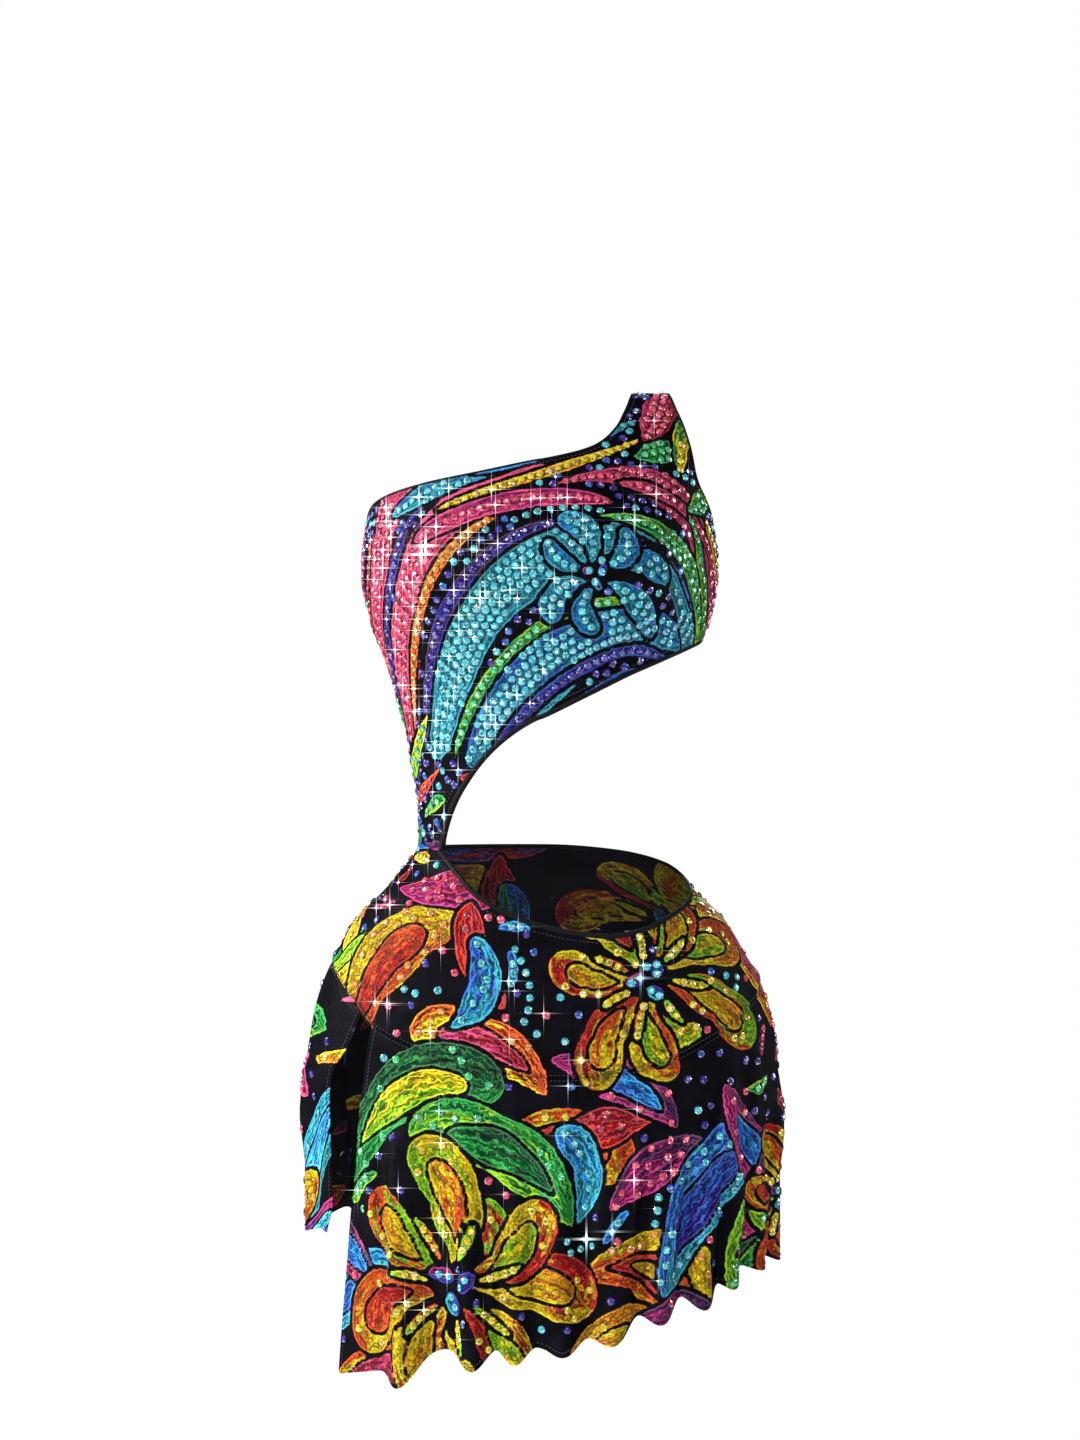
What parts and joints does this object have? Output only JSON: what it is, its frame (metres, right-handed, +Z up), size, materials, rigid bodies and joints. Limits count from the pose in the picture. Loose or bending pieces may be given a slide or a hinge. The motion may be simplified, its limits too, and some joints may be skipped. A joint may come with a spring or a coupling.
{
  "type": "one-shoulder cut-out mesh dress",
  "caption": "Hollow worn one-shoulder mesh mini dress with an open waist, a hip yoke and a wavy flounce slit at one thigh.",
  "frame": {"origin": "underside of the one strap, at the top of the shoulder that carries it", "axes": "+Z up, -Y towards the front of the dress, +X towards the strap's side, which is the wearer's left"},
  "size_m": [0.3888, 0.294, 0.794],
  "materials": {
    "printed_mesh": "dark stretch mesh with a bright flower print, set all over with small faceted stones",
    "flounce_mesh": "dark stretch mesh with a bright flower print and scattered small faceted stones",
    "dark_edging": "narrow dark stretch edging, stitched",
    "stones": "small faceted glass stones with foiled backs"
  },
  "bodies": {
    "root": {"bodice_front": "printed_mesh", "bodice_back": "printed_mesh", "yoke_front": "printed_mesh", "yoke_back": "printed_mesh", "flounce_front": "flounce_mesh", "flounce_back": "flounce_mesh", "cutout_binding": "dark_edging"}
  },
  "joints": []
}
